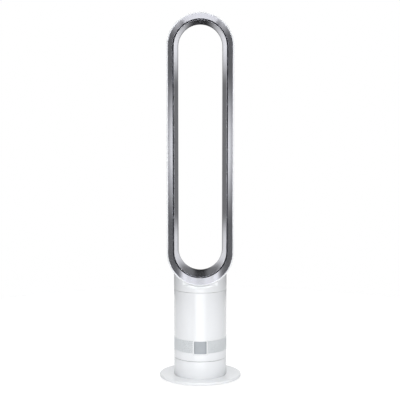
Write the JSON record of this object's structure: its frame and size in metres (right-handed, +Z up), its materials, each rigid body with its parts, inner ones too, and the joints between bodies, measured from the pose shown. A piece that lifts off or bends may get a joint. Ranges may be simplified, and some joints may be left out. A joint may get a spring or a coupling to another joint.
{
  "type": "tower fan",
  "caption": "Slim white tower fan: round body on a flat disc base, with a tall open loop that blows air from a slot round its inner face.",
  "frame": {"origin": "on the floor, at the middle of the round base, on the oscillation axis", "axes": "+Z up along the oscillation axis, -Y towards the front where the air leaves and the display is, +X to the viewer's right"},
  "size_m": [0.226, 0.226, 1.0069],
  "materials": {
    "white_shell": "gloss white moulding",
    "silver_shell": "silver metallic lacquer on plastic, satin gloss",
    "inlet_grey": "pale grey perforated skin",
    "display_grey": "smoked window",
    "feet_rubber": "soft black rubber",
    "underside_plastic": "dark grey moulding",
    "ballast_steel": "bare weight",
    "screw_steel": "zinc plated",
    "gland_plastic": "pale grey moulding",
    "board_green": "solder-masked board",
    "part_black": "black mouldings",
    "wire_black": "wire sleeve",
    "structure_plastic": "grey structural moulding",
    "gear_plastic": "acetal",
    "shaft_steel": "turned steel",
    "motor_can": "plated can",
    "foam_black": "foam and soft rubber",
    "mesh_grey": "woven screen",
    "impeller_plastic": "glass-filled moulding"
  },
  "bodies": {
    "base": {"rubber_feet": "feet_rubber", "base_cover": "underside_plastic", "cover_screws": "screw_steel", "ballast_plate": "ballast_steel", "base_plate": "white_shell", "base_column": "white_shell", "column_screws": "screw_steel", "cord_gland": "gland_plastic", "power_board": "board_green", "power_parts": "part_black", "supply_wires": "wire_black", "swivel_chassis": "structure_plastic", "oscillation_motor": "motor_can", "motor_screws": "screw_steel", "pivot_post": "shaft_steel", "glide_ring": "gear_plastic", "thrust_washer": "gear_plastic", "pivot_clip": "shaft_steel", "base_loom": "wire_black"},
    "pinion": {"pinion_shaft": "shaft_steel", "drive_pinion": "gear_plastic"},
    "tower": {"turntable": "structure_plastic", "driven_gear": "gear_plastic", "casing_screws": "screw_steel", "lower_casing": "white_shell", "lower_foam": "foam_black", "control_board": "board_green", "board_parts": "part_black", "board_screws": "screw_steel", "tower_loom": "wire_black", "display_bracket": "structure_plastic", "display_board": "board_green", "display_parts": "part_black", "window_frame": "white_shell", "inlet_band": "inlet_grey", "inlet_mesh": "mesh_grey", "inlet_frame": "structure_plastic", "upper_casing": "white_shell", "shroud_seal": "foam_black", "impeller_shroud": "structure_plastic", "diffuser": "structure_plastic", "motor_bucket": "structure_plastic", "bucket_nose": "structure_plastic", "motor_stator": "shaft_steel", "motor_bearings": "shaft_steel", "isolators": "foam_black", "outlet_duct": "structure_plastic", "neck_clips": "part_black", "neck_collar": "white_shell", "loop_outer_shell": "white_shell", "loop_front_bezel": "silver_shell", "loop_inner_bends": "silver_shell", "loop_inner_sides": "silver_shell", "slot_spacers": "structure_plastic", "dock_magnets": "shaft_steel"},
    "impeller": {"impeller": "impeller_plastic", "motor_rotor": "shaft_steel", "motor_shaft": "shaft_steel", "impeller_nut": "screw_steel"},
    "button": {"power_button": "display_grey"}
  },
  "joints": [
    {"name": "oscillation", "type": "hinge", "parent": "base", "child": "tower", "pos_m": [0, 0, 0.0574], "axis": [0, 0, 1], "range_deg": [-35, 35]},
    {"name": "pinion_turn", "type": "hinge", "parent": "base", "child": "pinion", "pos_m": [0, 0.03905, 0.0474], "axis": [0, 0, 1], "range_deg": [-118, 118]},
    {"name": "impeller_spin", "type": "hinge", "parent": "tower", "child": "impeller", "pos_m": [0, 0, 0.145], "axis": [0, 0, 1], "continuous": true},
    {"name": "button_press", "type": "slide", "parent": "tower", "child": "button", "axis": [0, 1, 0], "range_m": [0, 0.0012], "stiffness_N_per_m": 800, "springref_m": -0.0005}
  ],
  "couplings": [
    {"joint": "pinion_turn", "follows": "oscillation", "ratio": -3.3333}
  ]
}
